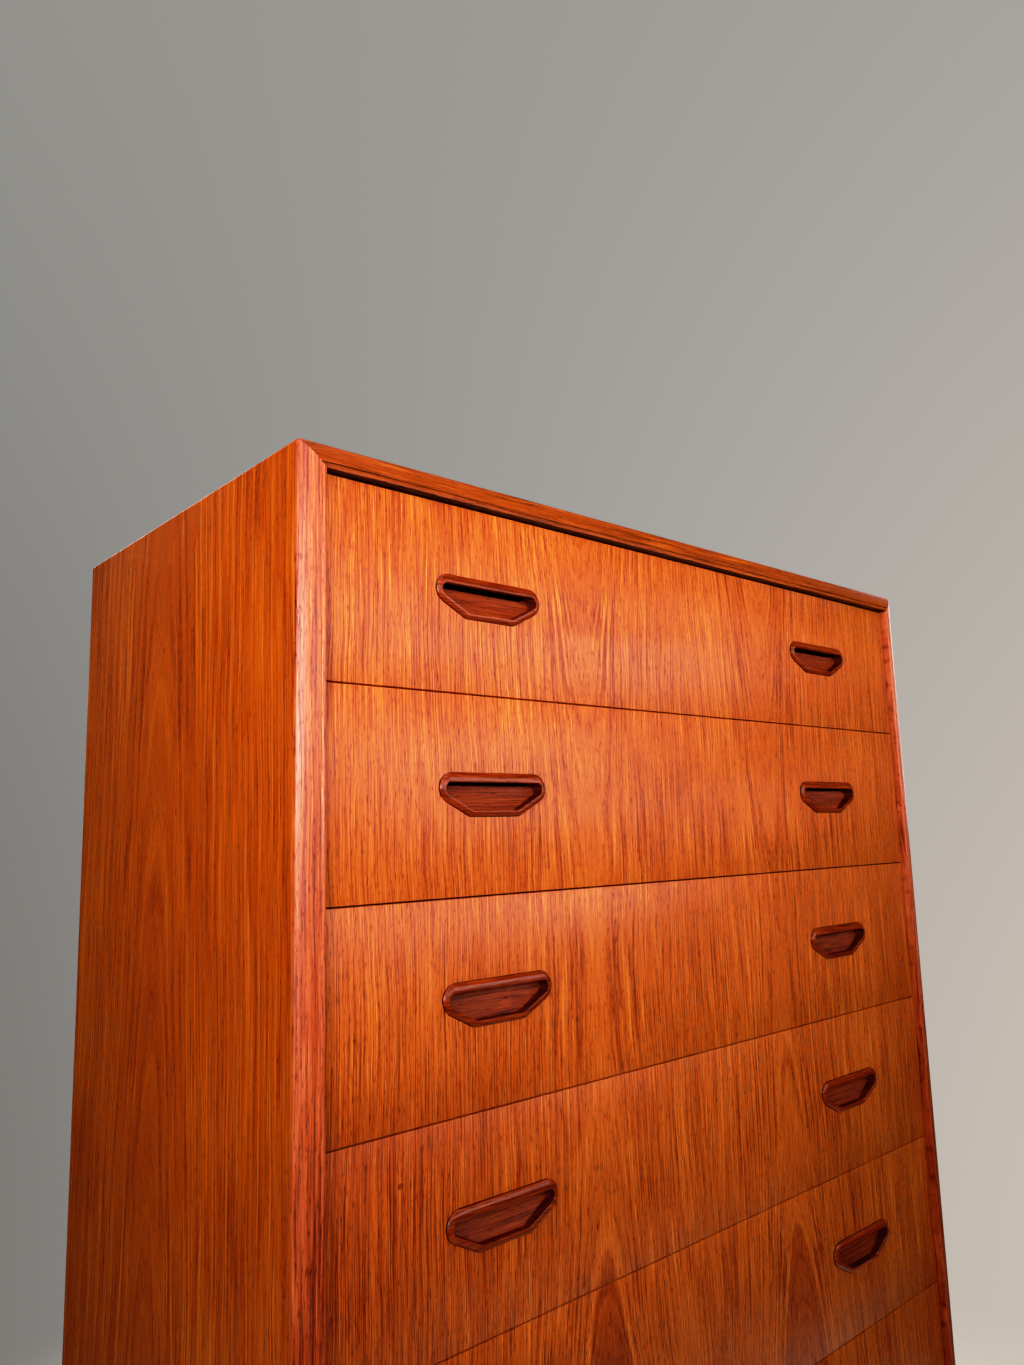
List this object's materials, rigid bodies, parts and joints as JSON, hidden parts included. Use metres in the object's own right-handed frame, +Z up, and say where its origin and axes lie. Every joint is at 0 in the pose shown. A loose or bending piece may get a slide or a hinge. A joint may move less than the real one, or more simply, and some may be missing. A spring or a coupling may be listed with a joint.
{
  "type": "tall chest of drawers",
  "caption": "Tall teak chest with full-width inset drawers, domed mitred front lippings, recessed wooden finger pulls and a base of turned tapered legs.",
  "frame": {"origin": "centre of the bounding box at floor level, under the middle of the case", "axes": "+Z up; +X to the right seen from the front; the drawers face -Y and open along -Y"},
  "size_m": [0.8, 0.408, 1.11],
  "materials": {
    "teak_front": "oiled straight-grain teak veneer, satin",
    "teak_case": "oiled crown-cut teak veneer, satin",
    "teak_solid": "oiled solid teak, satin",
    "teak_pull": "dark oiled solid teak, satin",
    "beech": "lacquered solid beech",
    "plywood": "thin birch plywood, unpolished"
  },
  "bodies": {
    "case": {"case_side_left": "teak_case", "case_side_right": "teak_case", "case_top": "teak_case", "case_bottom": "teak_case", "back_panel": "plywood", "lipping_left": "teak_solid", "lipping_right": "teak_solid", "lipping_top": "teak_solid", "lipping_bottom": "teak_solid", "leg_front_left": "teak_solid", "leg_front_right": "teak_solid", "leg_back_left": "teak_solid", "leg_back_right": "teak_solid", "rail_front": "teak_solid", "rail_back": "teak_solid", "rail_left": "teak_solid", "rail_right": "teak_solid"},
    "drawer_1": {"drawer_1_front": "teak_front", "drawer_1_side_left": "beech", "drawer_1_side_right": "beech", "drawer_1_back": "beech", "drawer_1_bottom": "plywood", "drawer_1_pull_left": "teak_pull", "drawer_1_pull_right": "teak_pull"},
    "drawer_2": {"drawer_2_front": "teak_front", "drawer_2_side_left": "beech", "drawer_2_side_right": "beech", "drawer_2_back": "beech", "drawer_2_bottom": "plywood", "drawer_2_pull_left": "teak_pull", "drawer_2_pull_right": "teak_pull"},
    "drawer_3": {"drawer_3_front": "teak_front", "drawer_3_side_left": "beech", "drawer_3_side_right": "beech", "drawer_3_back": "beech", "drawer_3_bottom": "plywood", "drawer_3_pull_left": "teak_pull", "drawer_3_pull_right": "teak_pull"},
    "drawer_4": {"drawer_4_front": "teak_front", "drawer_4_side_left": "beech", "drawer_4_side_right": "beech", "drawer_4_back": "beech", "drawer_4_bottom": "plywood", "drawer_4_pull_left": "teak_pull", "drawer_4_pull_right": "teak_pull"},
    "drawer_5": {"drawer_5_front": "teak_front", "drawer_5_side_left": "beech", "drawer_5_side_right": "beech", "drawer_5_back": "beech", "drawer_5_bottom": "plywood", "drawer_5_pull_left": "teak_pull", "drawer_5_pull_right": "teak_pull"},
    "drawer_6": {"drawer_6_front": "teak_front", "drawer_6_side_left": "beech", "drawer_6_side_right": "beech", "drawer_6_back": "beech", "drawer_6_bottom": "plywood", "drawer_6_pull_left": "teak_pull", "drawer_6_pull_right": "teak_pull"}
  },
  "joints": [
    {"name": "drawer_1_slide", "type": "slide", "parent": "case", "child": "drawer_1", "axis": [0, -1, 0], "range_m": [0, 0.28]},
    {"name": "drawer_2_slide", "type": "slide", "parent": "case", "child": "drawer_2", "axis": [0, -1, 0], "range_m": [0, 0.28]},
    {"name": "drawer_3_slide", "type": "slide", "parent": "case", "child": "drawer_3", "axis": [0, -1, 0], "range_m": [0, 0.28]},
    {"name": "drawer_4_slide", "type": "slide", "parent": "case", "child": "drawer_4", "axis": [0, -1, 0], "range_m": [0, 0.28]},
    {"name": "drawer_5_slide", "type": "slide", "parent": "case", "child": "drawer_5", "axis": [0, -1, 0], "range_m": [0, 0.28]},
    {"name": "drawer_6_slide", "type": "slide", "parent": "case", "child": "drawer_6", "axis": [0, -1, 0], "range_m": [0, 0.28]}
  ]
}
